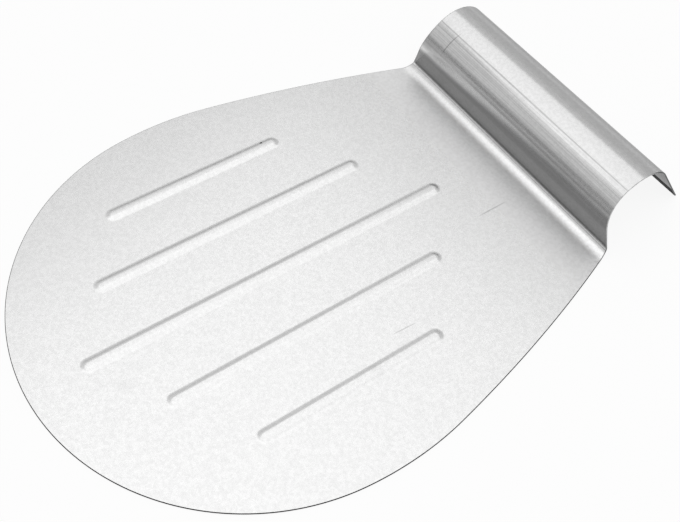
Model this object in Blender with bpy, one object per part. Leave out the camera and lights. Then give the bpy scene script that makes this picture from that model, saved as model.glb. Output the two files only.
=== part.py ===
"""Cake lifter: a round blade and a rolled handle, pressed and bent from one sheet of steel.

The lifter is a single blank of stainless steel sheet. Five beads are pressed up in the blade, and
the tongue behind the blade is bent upright and rolled over into a tunnel-shaped handle, whose free
edge comes back down to the table. Nothing is welded, riveted or hinged, so there is one solid.

Units are metres, +Z is up, -Y points to the blade's tip and +Y to the handle. The origin is on
the table, under the middle of the lifter's footprint.
"""

import math

import bmesh
import bpy
from mathutils import Vector

MM = 0.001

# The sheet
SHEET = 0.8 * MM

# Blade outline from above: a round front, then a shoulder and a nearly straight flank each side
FRONT_RADIUS = 125 * MM
FRONT_ANGLE = math.radians(83)
SHOULDER_RADIUS = 182 * MM
SHOULDER_ANGLE = math.radians(18)
FLANK_RADIUS = 850 * MM
CENTRE_TO_BEND = 162 * MM

# Handle, on the face that is the blade's top: a wide bend that tightens into a crease, then the
# wall, which leans a little over the blade, and the roll. The tail is straight
BEND_RADIUS = 8.6 * MM
BEND_ANGLE = math.radians(45)
CREASE_RADIUS = 2.5 * MM
CREASE_ANGLE = math.radians(49)
WALL_LENGTH = 12 * MM
ROLL_RADIUS = 23.4 * MM
ROLL_ANGLE = math.radians(147.5)
HANDLE_WIDTH = 157 * MM
NECK_LENGTH = 46 * MM
CORNER_RADIUS = 1.5 * MM

# Beads, all parallel: a long one in the middle and shorter pairs on both sides of it
BEAD_PAIRS = 2
BEAD_PITCH = 38.9 * MM
BEAD_WIDTH = 9.2 * MM
BEAD_CROWN = 2 * MM
BEAD_HEIGHT = 1 * MM
BEAD_FRONT = 98.5 * MM
BEAD_FRONT_STEP = 25.8 * MM
BEAD_BACK = 123.3 * MM
BEAD_BACK_STEP = 29.2 * MM

# The finest turns and runs that the curves are divided into
OUTLINE_STEP = 5 * MM
ROLL_STEP = math.radians(5)
RUN_STEP = 4 * MM
BEAD_RINGS = 8
BEAD_END_STEPS = 10
CORNER_STEPS = 4

QUARTER_TURN = math.pi / 2


def clear_scene():
    for thing in list(bpy.data.objects):
        bpy.data.objects.remove(thing, do_unlink=True)


def arc_on(points, heading, radius, angle):
    """Adds an arc that bears left to a plan outline, and returns the heading at its end."""
    start = points[-1]
    centre = start + radius * Vector((-math.sin(heading), math.cos(heading)))
    count = math.ceil(radius * angle / OUTLINE_STEP)
    for step in range(1, count + 1):
        ahead = heading + angle * step / count
        points.append(centre + radius * Vector((math.sin(ahead), -math.cos(ahead))))
    return heading + angle


def flank_angle(start, heading):
    """The angle that the flank's arc turns through before it meets the bend line."""
    centre_y = start.y + FLANK_RADIUS * math.cos(heading)
    return math.acos((centre_y - CENTRE_TO_BEND) / FLANK_RADIUS) - heading


def blade_side():
    """The outline of one side, from tip to bend line, and how steeply it runs in at its end."""
    points = [Vector((0, -FRONT_RADIUS))]
    heading = arc_on(points, 0, FRONT_RADIUS, FRONT_ANGLE)
    heading = arc_on(points, heading, SHOULDER_RADIUS, SHOULDER_ANGLE)
    heading = arc_on(points, heading, FLANK_RADIUS, flank_angle(points[-1], heading))
    return points, math.tan(heading - QUARTER_TURN)


def closed_loop(bm, points, height):
    verts = [bm.verts.new((point.x, point.y, height)) for point in points]
    ends = zip(verts, verts[1:] + verts[:1])
    return verts, [bm.edges.new(pair) for pair in ends]


def slot_points(x, front, back, radius):
    """A slot shape seen from above: two half circles, about points at its front and its back."""
    points = []
    for y, turned in ((back, 0), (front, math.pi)):
        for step in range(BEAD_END_STEPS + 1):
            angle = turned + math.pi * step / BEAD_END_STEPS
            points.append(Vector((x + radius * math.cos(angle), y + radius * math.sin(angle))))
    return points


def press_bead(bm, number):
    """Raises one bead ring by ring, foot to crown, and returns the edges round its foot."""
    rank = abs(number)
    foot, crown = BEAD_WIDTH / 2, BEAD_CROWN / 2
    front = rank * BEAD_FRONT_STEP - BEAD_FRONT + foot
    back = BEAD_BACK - rank * BEAD_BACK_STEP - foot
    rings = []
    for ring in range(BEAD_RINGS + 1):
        along = ring / BEAD_RINGS
        radius = foot + (crown - foot) * along
        height = BEAD_HEIGHT * (1 - math.cos(math.pi * along)) / 2
        points = slot_points(number * BEAD_PITCH, front, back, radius)
        verts, edges = closed_loop(bm, points, SHEET + height)
        rings.append(edges)
    for below, above in zip(rings, rings[1:]):
        bmesh.ops.bridge_loops(bm, edges=below + above)
    bm.faces.new(verts)
    return rings[0]


def make_blade(bm, side):
    """The flat blade with its beads, and the edge along the bend line that the handle grows from."""
    mirrored = [Vector((-point.x, point.y)) for point in side[:0:-1]]
    verts, edges = closed_loop(bm, side + mirrored, SHEET)
    for number in range(-BEAD_PAIRS, BEAD_PAIRS + 1):
        edges += press_bead(bm, number)
    bmesh.ops.triangle_fill(bm, edges=edges, use_beauty=True, normal=(0, 0, 1))
    return bm.edges.get((verts[len(side) - 1], verts[len(side)]))


def tongue_width(run, bend_width, run_in):
    """Width of the tongue at a distance past the bend line, as the flanks ease into parallel sides."""
    part = min(run / NECK_LENGTH, 1)
    eased = part**2 * (3 - 2 * part)
    still_narrowing = part * (1 - part) ** 2
    return (
        bend_width
        + (HANDLE_WIDTH - bend_width) * eased
        - 2 * run_in * NECK_LENGTH * still_narrowing
    )


def new_edge(geometry):
    return next(item for item in geometry if isinstance(item, bmesh.types.BMEdge))


class Tongue:
    """The strip behind the bend line, grown row by row and narrowed to its width at each row."""

    def __init__(self, bm, edge, run_in):
        self.bm = bm
        self.edge = edge
        self.run_in = run_in
        self.bend_width = edge.calc_length()
        self.run = 0

    def next_row(self, edge, length):
        self.edge = edge
        self.run += length
        half = tongue_width(self.run, self.bend_width, self.run_in) / 2
        for vert in edge.verts:
            vert.co.x = math.copysign(half, vert.co.x)

    def bend(self, radius, heading, angle):
        """Turns the strip's end through an angle, up where it is positive and down otherwise."""
        side = math.copysign(radius, angle)
        here = self.edge.verts[0].co
        centre = (0, here.y - side * math.sin(heading), here.z + side * math.cos(heading))
        count = math.ceil(abs(angle) / ROLL_STEP)
        for _ in range(count):
            spun = bmesh.ops.spin(
                self.bm, geom=[self.edge], cent=centre, axis=(1, 0, 0), angle=angle / count, steps=1
            )
            self.next_row(new_edge(spun["geom_last"]), radius * abs(angle) / count)
        return heading + angle

    def straight(self, length, heading):
        count = math.ceil(length / RUN_STEP)
        step = Vector((0, math.cos(heading), math.sin(heading))) * length / count
        for _ in range(count):
            grown = bmesh.ops.extrude_edge_only(self.bm, edges=[self.edge])
            edge = new_edge(grown["geom"])
            bmesh.ops.translate(self.bm, vec=step, verts=edge.verts)
            self.next_row(edge, length / count)

    def down_to_table(self, heading):
        """Runs straight on until the sheet's lower corner is on the table."""
        height = self.edge.verts[0].co.z
        self.straight((SHEET * math.cos(heading) - height) / math.sin(heading), heading)


def roll_handle(bm, edge, run_in):
    tongue = Tongue(bm, edge, run_in)
    heading = tongue.bend(BEND_RADIUS, 0, BEND_ANGLE)
    heading = tongue.bend(CREASE_RADIUS, heading, CREASE_ANGLE)
    tongue.straight(WALL_LENGTH, heading)
    heading = tongue.bend(ROLL_RADIUS, heading, -ROLL_ANGLE)
    tongue.down_to_table(heading)
    bmesh.ops.bevel(
        bm,
        geom=list(tongue.edge.verts),
        offset=CORNER_RADIUS,
        offset_type="OFFSET",
        segments=CORNER_STEPS,
        profile=0.5,
        affect="VERTICES",
    )


def face_up(bm):
    """Makes every face of the open sheet point the way that the blade's top does."""
    bmesh.ops.recalc_face_normals(bm, faces=bm.faces)
    flat = max(bm.faces, key=lambda face: face.calc_area() * abs(face.normal.z))
    if flat.normal.z < 0:
        bmesh.ops.reverse_faces(bm, faces=bm.faces)


def centre_footprint(bm):
    along = [vert.co.y for vert in bm.verts]
    middle = (min(along) + max(along)) / 2
    bmesh.ops.translate(bm, vec=(0, -middle, 0), verts=bm.verts)


def satin_steel():
    material = bpy.data.materials.new("satin_stainless_steel")
    material.use_nodes = True
    shader = material.node_tree.nodes["Principled BSDF"]
    shader.inputs["Base Color"].default_value = (0.66, 0.66, 0.65, 1)
    shader.inputs["Metallic"].default_value = 1
    shader.inputs["Roughness"].default_value = 0.32
    return material


def make_lifter():
    bm = bmesh.new()
    side, run_in = blade_side()
    bend_line = make_blade(bm, side)
    roll_handle(bm, bend_line, run_in)
    face_up(bm)
    centre_footprint(bm)
    mesh = bpy.data.meshes.new("blade_and_handle")
    bm.to_mesh(mesh)
    bm.free()
    mesh.materials.append(satin_steel())
    lifter = bpy.data.objects.new("blade_and_handle", mesh)
    bpy.context.scene.collection.objects.link(lifter)
    thickness = lifter.modifiers.new("sheet", "SOLIDIFY")
    thickness.thickness = SHEET
    thickness.offset = -1
    thickness.use_even_offset = True
    thickness.use_quality_normals = True


clear_scene()
make_lifter()
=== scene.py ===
import math

import bmesh
import bpy
from mathutils import Matrix, Vector


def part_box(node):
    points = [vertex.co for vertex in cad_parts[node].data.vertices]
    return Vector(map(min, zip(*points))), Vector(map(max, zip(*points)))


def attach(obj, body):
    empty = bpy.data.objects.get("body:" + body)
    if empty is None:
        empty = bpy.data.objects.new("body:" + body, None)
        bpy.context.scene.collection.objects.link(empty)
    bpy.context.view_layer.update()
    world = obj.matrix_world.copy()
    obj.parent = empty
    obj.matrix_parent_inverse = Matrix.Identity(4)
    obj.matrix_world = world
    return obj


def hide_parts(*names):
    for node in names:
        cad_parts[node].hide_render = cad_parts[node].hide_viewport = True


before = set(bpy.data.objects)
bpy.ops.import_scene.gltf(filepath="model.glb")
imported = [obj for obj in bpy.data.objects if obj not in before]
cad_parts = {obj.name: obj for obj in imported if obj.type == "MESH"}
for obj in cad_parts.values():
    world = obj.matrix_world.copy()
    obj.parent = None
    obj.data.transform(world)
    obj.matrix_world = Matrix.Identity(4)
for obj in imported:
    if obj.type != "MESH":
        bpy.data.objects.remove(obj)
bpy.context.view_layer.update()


# The camera looks down over the right-hand side of the blade, from half a metre away, with the
# handle in the far corner. It leans a little, so that the handle runs down to the right.
MM = 0.001
CAMERA_TARGET = Vector((13.6, -9.7, 0.9)) * MM
CAMERA_DISTANCE = 491.6 * MM
CAMERA_AZIMUTH = math.radians(51.69)
CAMERA_ELEVATION = math.radians(53.83)
CAMERA_LEAN = math.radians(4.78)
CAMERA_SENSOR = 36
CAMERA_LENS = 49.16

camera_data = bpy.data.cameras.new("camera")
camera_data.sensor_width = CAMERA_SENSOR
camera_data.lens = CAMERA_LENS
camera = bpy.data.objects.new("camera", camera_data)
bpy.context.scene.collection.objects.link(camera)
camera.matrix_world = (
    Matrix.Translation(CAMERA_TARGET)
    @ Matrix.Rotation(CAMERA_AZIMUTH, 4, "Z")
    @ Matrix.Rotation(math.pi / 2 - CAMERA_ELEVATION, 4, "X")
    @ Matrix.Rotation(CAMERA_LEAN, 4, "Z")
    @ Matrix.Translation((0, 0, CAMERA_DISTANCE))
)
bpy.context.scene.camera = camera
bpy.context.scene.view_settings.view_transform = "Standard"


# The floor is a sheet of matt white card. To the eye it is plain white, with only a breath of
# shadow where the lifter lies on it. It lies a hair below the steel, so they share no plane.
FLOOR_SIZE = 60
FLOOR_DROP = 0.2 * MM
FLOOR_WHITENESS = 0.9
CARD_WHITE = "FAFAFA"
CARD_ROUGHNESS = 0.9


def add_node(tree, kind, inputs=(), **settings):
    """Adds a node with its settings. Each input gets a value, or a link from a node or socket."""
    node = tree.nodes.new(kind)
    for name, value in settings.items():
        setattr(node, name, value)
    for name, value in dict(inputs).items():
        if isinstance(value, bpy.types.Node):
            value = value.outputs[0]
        if isinstance(value, bpy.types.NodeSocket):
            tree.links.new(value, node.inputs[name])
        else:
            node.inputs[name].default_value = value
    return node


def linear_colour(srgb_hex):
    """Turns an sRGB hex colour to the linear red, green, blue and alpha of a shader."""
    channels = [int(srgb_hex[at : at + 2], 16) / 255 for at in (0, 2, 4)]
    linear = [c / 12.92 if c <= 0.04045 else ((c + 0.055) / 1.055) ** 2.4 for c in channels]
    return (*linear, 1)


def new_material(name):
    """Starts a material, and returns it with its node tree and its surface shader."""
    material = bpy.data.materials.new(name)
    material.use_nodes = True
    tree = material.node_tree
    return material, tree, tree.nodes["Principled BSDF"]


card, tree, card_face = new_material("matt_white_card")
card_face.inputs["Base Color"].default_value = linear_colour(CARD_WHITE)
card_face.inputs["Roughness"].default_value = CARD_ROUGHNESS
ray = add_node(tree, "ShaderNodeLightPath").outputs
seen = add_node(
    tree, "ShaderNodeMath", {0: ray["Is Camera Ray"], 1: ray["Is Glossy Ray"]}, operation="ADD"
)
seen = add_node(
    tree, "ShaderNodeMath", {0: seen, 1: ray["Is Transmission Ray"]}, operation="ADD"
)
whiteness = add_node(tree, "ShaderNodeMath", {0: seen, 1: FLOOR_WHITENESS}, operation="MULTIPLY")
white = add_node(tree, "ShaderNodeEmission", {"Color": (1, 1, 1, 1), "Strength": 1})
card_look = add_node(tree, "ShaderNodeMixShader", {0: whiteness, 1: card_face, 2: white})
tree.links.new(card_look.outputs[0], tree.nodes["Material Output"].inputs["Surface"])

bm = bmesh.new()
bmesh.ops.create_grid(bm, x_segments=1, y_segments=1, size=FLOOR_SIZE / 2)
bmesh.ops.translate(bm, vec=(0, 0, -FLOOR_DROP), verts=bm.verts)
floor_mesh = bpy.data.meshes.new("floor")
bm.to_mesh(floor_mesh)
bm.free()
floor_mesh.materials.append(card)
floor = bpy.data.objects.new("floor", floor_mesh)
bpy.context.scene.collection.objects.link(floor)


# One large soft light hangs level over the lifter, turned a little. The room round it is pale
# grey, brighter in front of the blade and on its left than behind the handle, and dim at the
# horizon on every side.
SOFTBOX_HEIGHT = 1.5
SOFTBOX_ACROSS = 2.42
SOFTBOX_FRONT = -1.12
SOFTBOX_BACK = 1.17
SOFTBOX_TURN = math.radians(12)
SOFTBOX_LEVEL = 0.5
ROOM_FRONT_LEVEL = 0.7
ROOM_BACK_LEVEL = 0.6
ROOM_LEFT_LEVEL = 0.66
HORIZON_LEVEL = 0.15
HORIZON_HEIGHT = 0.3
FRONT_TO_BACK_BLEND = (-0.4, 0.4)
LEFT_BLEND = (-0.85, -0.5)

lamp = bpy.data.lights.new("softbox", "AREA")
lamp.shape = "RECTANGLE"
lamp.size = SOFTBOX_ACROSS
lamp.size_y = SOFTBOX_BACK - SOFTBOX_FRONT
lamp.energy = SOFTBOX_LEVEL * math.pi * lamp.size * lamp.size_y
softbox = bpy.data.objects.new("softbox", lamp)
softbox.location = (0, (SOFTBOX_FRONT + SOFTBOX_BACK) / 2, SOFTBOX_HEIGHT)
softbox.rotation_euler.z = SOFTBOX_TURN
bpy.context.scene.collection.objects.link(softbox)

room = bpy.data.worlds.new("pale_grey_room")
room.use_nodes = True
tree = room.node_tree
direction = add_node(tree, "ShaderNodeTexCoord").outputs["Generated"]
direction = add_node(tree, "ShaderNodeSeparateXYZ", {0: direction}).outputs

# Each side of the room has its axis, where along it the light changes, and how bright it is.
level = ROOM_BACK_LEVEL
for axis, start, end, side_level in (
    ("Y", *FRONT_TO_BACK_BLEND, ROOM_FRONT_LEVEL),
    ("X", *LEFT_BLEND, ROOM_LEFT_LEVEL),
    ("Z", 0, HORIZON_HEIGHT, HORIZON_LEVEL),
):
    level = add_node(
        tree,
        "ShaderNodeMapRange",
        {
            "Value": direction[axis],
            "From Min": start,
            "From Max": end,
            "To Min": side_level,
            "To Max": level,
        },
        interpolation_type="SMOOTHSTEP",
    )
room_light = tree.nodes["Background"]
room_light.inputs["Color"].default_value = (1, 1, 1, 1)
tree.links.new(level.outputs[0], room_light.inputs["Strength"])
bpy.context.scene.world = room


# The lifter is one blank of stainless steel sheet, 0.8 mm thick. Its blade is cut with a round
# front, and five beads are pressed up in it, which stiffen it and carry the cake clear.
SHEET = 0.8 * MM
FRONT_RADIUS = 125 * MM
FRONT_ANGLE = math.radians(83)
SHOULDER_RADIUS = 182 * MM
SHOULDER_ANGLE = math.radians(18)
FLANK_RADIUS = 850 * MM
CENTRE_TO_BEND = 162 * MM
OUTLINE_STEP = 2 * MM
BEAD_PAIRS = 2
BEAD_PITCH = 38.9 * MM
BEAD_WIDTH = 9.2 * MM
BEAD_CROWN = 2 * MM
BEAD_HEIGHT = 1 * MM
BEAD_FRONT = 97.4 * MM
BEAD_FRONT_STEP = 25.8 * MM
BEAD_BACK = 122.1 * MM
BEAD_BACK_STEP = 29.2 * MM
BEAD_MARGIN = 0.4 * MM
BEAD_RINGS = 10
BEAD_END_STEPS = 24
MIRROR_TOLERANCE = 0.01 * MM


def swing(bm, vert, centre, angle, steps):
    """Draws an arc on the flat from a point, about a centre. Returns its last point."""
    drawn = bmesh.ops.spin(bm, geom=[vert], cent=centre, axis=(0, 0, 1), angle=angle, steps=steps)
    return next(item for item in drawn["geom_last"] if isinstance(item, bmesh.types.BMVert))


def arc_on(bm, vert, heading, radius, angle):
    """Draws an outline on from a point, along an arc that bears left. Returns its last point."""
    centre = vert.co + radius * Vector((-math.sin(heading), math.cos(heading), 0))
    return swing(bm, vert, centre, angle, math.ceil(radius * angle / OUTLINE_STEP))


def press_bead(bm, number):
    """Draws one bead's slot shape, fills it, and raises it ring by ring from foot to crown."""
    rank = abs(number)
    across = number * BEAD_PITCH
    front = rank * BEAD_FRONT_STEP - BEAD_FRONT + BEAD_WIDTH / 2
    back = BEAD_BACK - rank * BEAD_BACK_STEP - BEAD_WIDTH / 2
    first = bm.verts.new((across + BEAD_WIDTH / 2 + BEAD_MARGIN, back, 0))
    turned = swing(bm, first, (across, back, 0), math.pi, BEAD_END_STEPS)
    run_down = bmesh.ops.extrude_vert_indiv(bm, verts=[turned])["verts"]
    bmesh.ops.translate(bm, vec=(0, front - back, 0), verts=run_down)
    last = swing(bm, run_down[0], (across, front, 0), math.pi, BEAD_END_STEPS)
    bm.edges.new((last, first))
    slot = [edge for edge in bm.edges if edge.is_wire]
    crown = bmesh.ops.edgeloop_fill(bm, edges=slot)["faces"][0]
    if crown.normal.z < 0:
        crown.normal_flip()
    bmesh.ops.inset_individual(
        bm, faces=[crown], thickness=BEAD_MARGIN, depth=0, use_even_offset=True
    )
    risen = 0
    for ring in range(1, BEAD_RINGS + 1):
        height = BEAD_HEIGHT * (1 - math.cos(math.pi * ring / BEAD_RINGS)) / 2
        bmesh.ops.inset_individual(
            bm,
            faces=[crown],
            thickness=(BEAD_WIDTH - BEAD_CROWN) / 2 / BEAD_RINGS,
            depth=height - risen,
            use_even_offset=True,
        )
        risen = height


bm = bmesh.new()
run_layer = bm.verts.layers.float.new("run")
for number in range(-BEAD_PAIRS, BEAD_PAIRS + 1):
    press_bead(bm, number)
tip = bm.verts.new((0, -FRONT_RADIUS, 0))
shoulder = arc_on(bm, tip, 0, FRONT_RADIUS, FRONT_ANGLE)
heading = FRONT_ANGLE
flank = arc_on(bm, shoulder, heading, SHOULDER_RADIUS, SHOULDER_ANGLE)
heading += SHOULDER_ANGLE
flank_centre_y = flank.co.y + FLANK_RADIUS * math.cos(heading)
bend_heading = math.acos((flank_centre_y - CENTRE_TO_BEND) / FLANK_RADIUS)
bend_corner = arc_on(bm, flank, heading, FLANK_RADIUS, bend_heading - heading)
neck_slope = math.tan(bend_heading - math.pi / 2)
half_bend = bend_corner.co.x
one_side = [edge for edge in bm.edges if edge.is_wire]
one_side += {vert for edge in one_side for vert in edge.verts}
bmesh.ops.mirror(bm, geom=one_side, axis="X", merge_dist=MIRROR_TOLERANCE)
corners = [vert for vert in bm.verts if vert.co.y > CENTRE_TO_BEND - MIRROR_TOLERANCE]
bend_line = bm.edges.new(corners)
rims = [edge for edge in bm.edges if len(edge.link_faces) < 2]
bmesh.ops.triangle_fill(bm, edges=rims, use_beauty=True, normal=(0, 0, 1))
for vert in bm.verts:
    vert[run_layer] = vert.co.y - CENTRE_TO_BEND


# The handle is the tongue behind the blade, bent up and rolled over a mandrel into a tunnel. The
# bend tightens into a crease at the foot of the wall, which leans a little over the blade. The
# free edge comes straight back down to the table.
BEND_RADIUS = 8.6 * MM
BEND_ANGLE = math.radians(45)
CREASE_RADIUS = 2.5 * MM
CREASE_ANGLE = math.radians(49)
WALL_LENGTH = 12 * MM
ROLL_RADIUS = 23.4 * MM
ROLL_ANGLE = math.radians(147.5)
HANDLE_WIDTH = 157 * MM
NECK_LENGTH = 46 * MM
CORNER_RADIUS = 1.5 * MM
ROLL_STEP = math.radians(2)
RUN_STEP = 2 * MM
CORNER_STEPS = 6
MERGE_DISTANCE = 0.001 * MM
DEBURR_WIDTH = 0.38 * MM
DEBURR_STEPS = 3
DEBURR_ANGLE = math.radians(50)
BACK_FACE_SLOT = 1
CUT_EDGE_SLOT = 2


def new_edge(geometry):
    return next(item for item in geometry if isinstance(item, bmesh.types.BMEdge))


def narrow_row(edge, run):
    """Sets a row of the tongue to its width there, as the flanks ease into parallel sides."""
    part = min(run / NECK_LENGTH, 1)
    eased = part**2 * (3 - 2 * part)
    still_narrowing = neck_slope * NECK_LENGTH * part * (1 - part) ** 2
    half = half_bend + (HANDLE_WIDTH / 2 - half_bend) * eased - still_narrowing
    for vert in edge.verts:
        vert.co.x = math.copysign(half, vert.co.x)
        vert[run_layer] = run


def bend_tongue(bm, edge, run, radius, heading, angle):
    """Turns the tongue's end through an angle, upwards where it is positive, in small steps."""
    side = math.copysign(radius, angle)
    here = edge.verts[0].co
    centre = (0, here.y - side * math.sin(heading), here.z + side * math.cos(heading))
    steps = math.ceil(abs(angle) / ROLL_STEP)
    for _ in range(steps):
        turned = bmesh.ops.spin(
            bm, geom=[edge], cent=centre, axis=(1, 0, 0), angle=angle / steps, steps=1
        )
        edge = new_edge(turned["geom_last"])
        run += radius * abs(angle) / steps
        narrow_row(edge, run)
    return edge, run


def extend_tongue(bm, edge, run, length, heading):
    steps = math.ceil(length / RUN_STEP)
    step = Vector((0, math.cos(heading), math.sin(heading))) * length / steps
    for _ in range(steps):
        grown = bmesh.ops.extrude_edge_only(bm, edges=[edge])
        edge = new_edge(grown["geom"])
        bmesh.ops.translate(bm, vec=step, verts=edge.verts)
        run += length / steps
        narrow_row(edge, run)
    return edge, run


wall_slope = BEND_ANGLE + CREASE_ANGLE
tail_slope = wall_slope - ROLL_ANGLE
edge, run = bend_tongue(bm, bend_line, 0, BEND_RADIUS, 0, BEND_ANGLE)
edge, run = bend_tongue(bm, edge, run, CREASE_RADIUS, BEND_ANGLE, CREASE_ANGLE)
edge, run = extend_tongue(bm, edge, run, WALL_LENGTH, wall_slope)
edge, run = bend_tongue(bm, edge, run, ROLL_RADIUS, wall_slope, -ROLL_ANGLE)
roll_end = SHEET + edge.verts[0].co.z
tail_length = (SHEET * math.cos(tail_slope) - roll_end) / math.sin(tail_slope)
edge, run = extend_tongue(bm, edge, run, tail_length, tail_slope)
rounded = bmesh.ops.bevel(
    bm,
    geom=list(edge.verts),
    offset=CORNER_RADIUS,
    offset_type="OFFSET",
    segments=CORNER_STEPS,
    profile=0.5,
    affect="VERTICES",
    material=-1,
)
for vert in rounded["verts"]:
    vert[run_layer] = run

bmesh.ops.remove_doubles(bm, verts=bm.verts, dist=MERGE_DISTANCE)
bmesh.ops.recalc_face_normals(bm, faces=bm.faces)
widest = max(bm.faces, key=lambda face: face.calc_area() * abs(face.normal.z))
if widest.normal.z < 0:
    bmesh.ops.reverse_faces(bm, faces=bm.faces)
low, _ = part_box("blade_and_handle")
front = min(vert.co.y for vert in bm.verts)
bmesh.ops.translate(bm, vec=(0, low[1] - front, SHEET), verts=bm.verts)
for face in bm.faces:
    face.smooth = True

lifter_mesh = bpy.data.meshes.new("rolled_sheet")
bm.to_mesh(lifter_mesh)
bm.free()
lifter = bpy.data.objects.new("rolled_sheet", lifter_mesh)
bpy.context.scene.collection.objects.link(lifter)

thickness = lifter.modifiers.new("sheet_thickness", "SOLIDIFY")
thickness.thickness = SHEET
thickness.offset = -1
thickness.use_even_offset = True
thickness.use_quality_normals = True
thickness.material_offset = BACK_FACE_SLOT
thickness.material_offset_rim = CUT_EDGE_SLOT
deburr = lifter.modifiers.new("deburred_edges", "BEVEL")
deburr.width = DEBURR_WIDTH
deburr.segments = DEBURR_STEPS
deburr.limit_method = "ANGLE"
deburr.angle_limit = DEBURR_ANGLE
deburr.material = CUT_EDGE_SLOT
deburr.harden_normals = True

# Satin stainless steel, nearly neutral and very bright. Its fine peened surface breaks the light up
# into soft reflections with a mottled grain. The rolled handle is smoother and greyer, and mirrors
# the room in long bands, with lengthwise lines where the roll pressed on it. The real grain and
# peening are finer than a pixel, so both are drawn as coarse as they need to be to show.
SATIN_STEEL = "EFEFEF"
GRAIN_SIZE = 1.8 * MM
NOISE_SPREAD = (0.3, 0.7)
SATIN_GRAIN_TONES = (0.96, 1.04)
HANDLE_START = (4 * MM, 10 * MM)
HANDLE_TONE = 0.84


def unrolled_place(tree):
    """Where a point lies on the sheet before bending: across, and on past the bend line."""
    place = add_node(tree, "ShaderNodeTexCoord").outputs["Object"]
    across = add_node(tree, "ShaderNodeSeparateXYZ", {0: place}).outputs["X"]
    run_on = add_node(tree, "ShaderNodeAttribute", attribute_name="run").outputs["Fac"]
    return place, across, run_on


def fade(tree, amount, value, start, end, before, after):
    """Multiplies an amount by a factor that eases from one level to another between two values.

    A named pair below holds the two ends of such a change, in place, in a pattern or in level.
    """
    factor = add_node(
        tree,
        "ShaderNodeMapRange",
        {"Value": value, "From Min": start, "From Max": end, "To Min": before, "To Max": after},
        interpolation_type="SMOOTHSTEP",
    )
    return add_node(tree, "ShaderNodeMath", {0: amount, 1: factor}, operation="MULTIPLY")


# Besides scratches and stains, this also draws the broad bands and patches of painted shade.
def mark_or_painted_band(tree, tone, flat_place, centre, length, width, angle, depth, softness):
    """Darkens the tone by a part of itself inside an oval mark, which is a scratch where thin.

    Its centre, length and width are in millimetres on the unrolled sheet, its angle in degrees.
    """
    in_mark = add_node(
        tree,
        "ShaderNodeMapping",
        {
            "Vector": flat_place,
            "Location": (centre[0] * MM, centre[1] * MM, 0),
            "Rotation": (0, 0, math.radians(angle)),
            "Scale": (length * MM / 2, width * MM / 2, 1),
        },
        vector_type="TEXTURE",
    )
    radius = add_node(tree, "ShaderNodeVectorMath", {0: in_mark}, operation="LENGTH")
    return fade(tree, tone, radius.outputs["Value"], 1 - softness, 1, 1 - depth, 1)


def colour_steel(tree, face, srgb_hex, tone):
    """Gives a face its colour, made darker or lighter from place to place by a tone."""
    colour = add_node(
        tree,
        "ShaderNodeVectorMath",
        {0: linear_colour(srgb_hex)[:3], "Scale": tone},
        operation="SCALE",
    )
    tree.links.new(colour.outputs[0], face.inputs["Base Color"])


satin, tree, satin_face = new_material("satin_stainless_steel")
place, across, run_on = unrolled_place(tree)
flat_place = add_node(tree, "ShaderNodeCombineXYZ", {"X": across, "Y": run_on})
grain = add_node(tree, "ShaderNodeTexNoise", {"Vector": place, "Scale": 1 / GRAIN_SIZE})
tone = fade(tree, 1, run_on, *HANDLE_START, 1, HANDLE_TONE)
tone = fade(tree, tone, grain, *NOISE_SPREAD, *SATIN_GRAIN_TONES)

# Pressed lines run along the front of the roll, and three of them are deeper. Broad dark bands of
# painted shade and reflection lie in the crease, at the foot of the roll, a little higher on its
# front and just past its top. All run from end to end. Each has its place past the bend and its
# width, in millimetres, and how dark it is.
STREAK_LENGTH = 110 * MM
STREAK_WIDTH = 0.8 * MM
STREAK_SPREAD = (0.4, 0.65)
LINES_START = (31 * MM, 37 * MM)
LINES_END = (45 * MM, 50 * MM)
LINES_TONE = 0.87
END_TO_END = 400
LINE_SOFTNESS = 0.6

drawn_out = add_node(
    tree,
    "ShaderNodeVectorMath",
    {0: flat_place, 1: (1 / STREAK_LENGTH, 1 / STREAK_WIDTH, 1)},
    operation="MULTIPLY",
)
streaks = add_node(tree, "ShaderNodeTexNoise", {"Vector": drawn_out, "Scale": 1})
lines = fade(tree, 1, run_on, *LINES_START, 0, 1)
lines = fade(tree, lines, run_on, *LINES_END, 1, 0)
lines = fade(tree, lines, streaks, *STREAK_SPREAD, 0, 1)
tone = fade(tree, tone, lines, 0, 1, 1, LINES_TONE)
for past_bend, width, depth in (
    (10, 3, 0.25),
    (22.5, 6, 0.15),
    (31.6, 5, 0.42),
    (40.6, 0.9, 0.12),
    (43, 0.9, 0.16),
    (46.2, 1.2, 0.3),
    (63.5, 9, 0.11),
):
    tone = mark_or_painted_band(
        tree, tone, flat_place, (0, past_bend), END_TO_END, width, 0, depth, LINE_SOFTNESS
    )

# The upright wall under the roll is painted darker as shade, up to a line that climbs to the
# right. The back of the roll is painted darker as shade on its way down, and the tail is painted
# a little lighter again.
WALL_SHADE_START = (7 * MM, 11 * MM)
WALL_SHADE_END = (25 * MM, 34 * MM)
WALL_SHADE_TONE = 0.35
WALL_SHADE_CLIMB = 6 * MM
CLIMB_ACROSS = (-90 * MM, 50 * MM)
ROLL_BACK = (67.5 * MM, 73 * MM)
ROLL_BACK_SHADE_TONE = 0.6
TAIL = (76 * MM, 84 * MM)
TAIL_LIGHTENING_TONE = 1.3

climb = fade(tree, WALL_SHADE_CLIMB, across, *CLIMB_ACROSS, 1, 0)
wall_shade_height = add_node(tree, "ShaderNodeMath", {0: run_on, 1: climb}, operation="ADD")
wall_shaded = fade(tree, 1, run_on, *WALL_SHADE_START, 0, 1)
wall_shaded = fade(tree, wall_shaded, wall_shade_height, *WALL_SHADE_END, 1, 0)
tone = fade(tree, tone, wall_shaded, 0, 1, 1, WALL_SHADE_TONE)
tone = fade(tree, tone, run_on, *ROLL_BACK, 1, ROLL_BACK_SHADE_TONE)
tone = fade(tree, tone, run_on, *TAIL, 1, TAIL_LIGHTENING_TONE)
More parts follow.
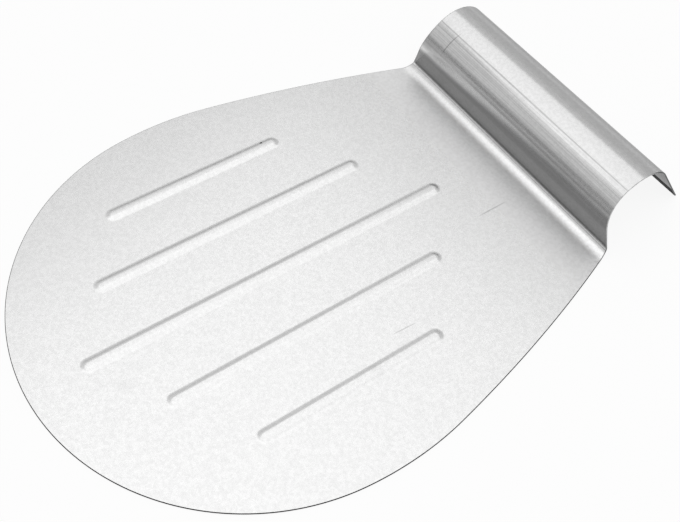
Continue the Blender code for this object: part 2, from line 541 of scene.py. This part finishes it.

# Marks of use: a scratch over the handle and two on the blade, three faint stains there, and a
# speck. The broad dark patch at the roll's left end is painted shade. Each has its middle, across
# and past the bend, its length, width and turn, and how dark and soft it is.
for marked in (
    ((-63, 39.5), 22, 1.1, 84, 0.35, 0.5),
    ((29.5, -25), 25, 1, 90, 0.3, 0.5),
    ((65.8, -113.5), 18, 1, 87, 0.25, 0.5),
    ((18.4, -245), 17, 10, 60, 0.06, 1),
    ((77.7, -139.5), 15, 10, 20, 0.05, 1),
    ((62.6, -234), 6, 4, 0, 0.06, 1),
    # This broad dark patch is painted shade.
    ((-78, 29), 80, 9, 0, 0.45, 1),
    ((-80.6, -108.2), 1.8, 1.8, 0, 0.97, 0.3),
):
    tone = mark_or_painted_band(tree, tone, flat_place, *marked)

colour_steel(tree, satin_face, SATIN_STEEL, tone)

# The blade is peened, and rougher towards the bend. The handle is smooth, but rubbed rougher
# along the back of the roll.
PEENING_SIZE = 0.5 * MM
PEENING_SPREAD = (0.35, 0.65)
BLADE_ROUGHNESS = (0.24, 0.4)
BEFORE_BEND = (-28 * MM, -6 * MM)
BEFORE_BEND_ROUGHER = 1.7
BEND = (0, 7 * MM)
HANDLE_ROUGHNESS = 0.2
RUBBED = (58 * MM, 66 * MM)
RUBBED_ROUGHER = 2.2

peening = add_node(tree, "ShaderNodeTexNoise", {"Vector": place, "Scale": 1 / PEENING_SIZE})
blade_roughness = fade(tree, 1, peening, *PEENING_SPREAD, *BLADE_ROUGHNESS)
blade_roughness = fade(tree, blade_roughness, run_on, *BEFORE_BEND, 1, BEFORE_BEND_ROUGHER)
handle_roughness = fade(tree, HANDLE_ROUGHNESS, run_on, *RUBBED, 1, RUBBED_ROUGHER)
on_handle = fade(tree, 1, run_on, *BEND, 0, 1)
roughness = add_node(
    tree,
    "ShaderNodeMix",
    {0: on_handle, 2: blade_roughness, 3: handle_roughness},
    data_type="FLOAT",
)
satin_face.inputs["Metallic"].default_value = 1
tree.links.new(roughness.outputs[0], satin_face.inputs["Roughness"])
lifter_mesh.materials.append(satin)

# The sheet's other face is duller and darker, as it left the rolling mill. Painted shade makes it
# darkest under the roll and lighter towards the free edge, and its last centimetre and a half is
# painted black, as the contact shadow where the free edge meets the table, mirrored in the face.
MILL_STEEL = "B4B4B4"
MILL_ROUGHNESS = 0.42
MILL_GRAIN_TONES = (0.9, 1.1)
UNDER_ROLL = (20 * MM, 60 * MM)
UNDER_ROLL_SHADE_TONE = 0.35
INSIDE_TAIL = (85 * MM, 118 * MM)
INSIDE_TAIL_TONE = 1.7
CONTACT_SHADOW = (106 * MM, 109 * MM)
CONTACT_SHADOW_TONE = 0.02
CONTACT_SHADOW_ROUGHER = 2.3

back, tree, back_face = new_material("as_rolled_back_face")
place, _, run_on = unrolled_place(tree)
mill_grain = add_node(tree, "ShaderNodeTexNoise", {"Vector": place, "Scale": 1 / GRAIN_SIZE})
tone = fade(tree, 1, mill_grain, *NOISE_SPREAD, *MILL_GRAIN_TONES)
tone = fade(tree, tone, run_on, *UNDER_ROLL, 1, UNDER_ROLL_SHADE_TONE)
tone = fade(tree, tone, run_on, *INSIDE_TAIL, 1, INSIDE_TAIL_TONE)
tone = fade(tree, tone, run_on, *CONTACT_SHADOW, 1, CONTACT_SHADOW_TONE)
bare_metal = fade(tree, 1, run_on, *CONTACT_SHADOW, 1, 0)
back_roughness = fade(tree, MILL_ROUGHNESS, run_on, *CONTACT_SHADOW, 1, CONTACT_SHADOW_ROUGHER)
colour_steel(tree, back_face, MILL_STEEL, tone)
tree.links.new(bare_metal.outputs[0], back_face.inputs["Metallic"])
tree.links.new(back_roughness.outputs[0], back_face.inputs["Roughness"])
lifter_mesh.materials.append(back)

# The sheared edges are narrow and dull. Round the blade, at the handle's left end and along its
# free edge they are painted nearly black as shade, with the contact shadow under the blade's rim,
# and only the roll's right-hand end shows bright metal.
SHEARED_STEEL = "CFCFCF"
SHEARED_ROUGHNESS = 0.4
SHEAR_MARK_TONES = (0.85, 1.15)
RIM_TO_ROLL = (-10 * MM, 35 * MM)
RIM_SHADE_TONE = 0.04
ROLL_TO_TAIL = (60 * MM, 72 * MM)
FREE_EDGE_SHADE_TONE = 0.1
LEFT_END = (-75 * MM, -70 * MM)
LEFT_END_TONE = 0.08

sheared, tree, sheared_face = new_material("sheared_steel_edge")
place, across, run_on = unrolled_place(tree)
shear_marks = add_node(tree, "ShaderNodeTexNoise", {"Vector": place, "Scale": 1 / GRAIN_SIZE})
tone = fade(tree, 1, shear_marks, *NOISE_SPREAD, *SHEAR_MARK_TONES)
tone = fade(tree, tone, run_on, *RIM_TO_ROLL, RIM_SHADE_TONE, 1)
tone = fade(tree, tone, run_on, *ROLL_TO_TAIL, 1, FREE_EDGE_SHADE_TONE)
tone = fade(tree, tone, across, *LEFT_END, LEFT_END_TONE, 1)
colour_steel(tree, sheared_face, SHEARED_STEEL, tone)
sheared_face.inputs["Metallic"].default_value = 1
sheared_face.inputs["Roughness"].default_value = SHEARED_ROUGHNESS
lifter_mesh.materials.append(sheared)

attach(lifter, "root")
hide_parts("blade_and_handle")
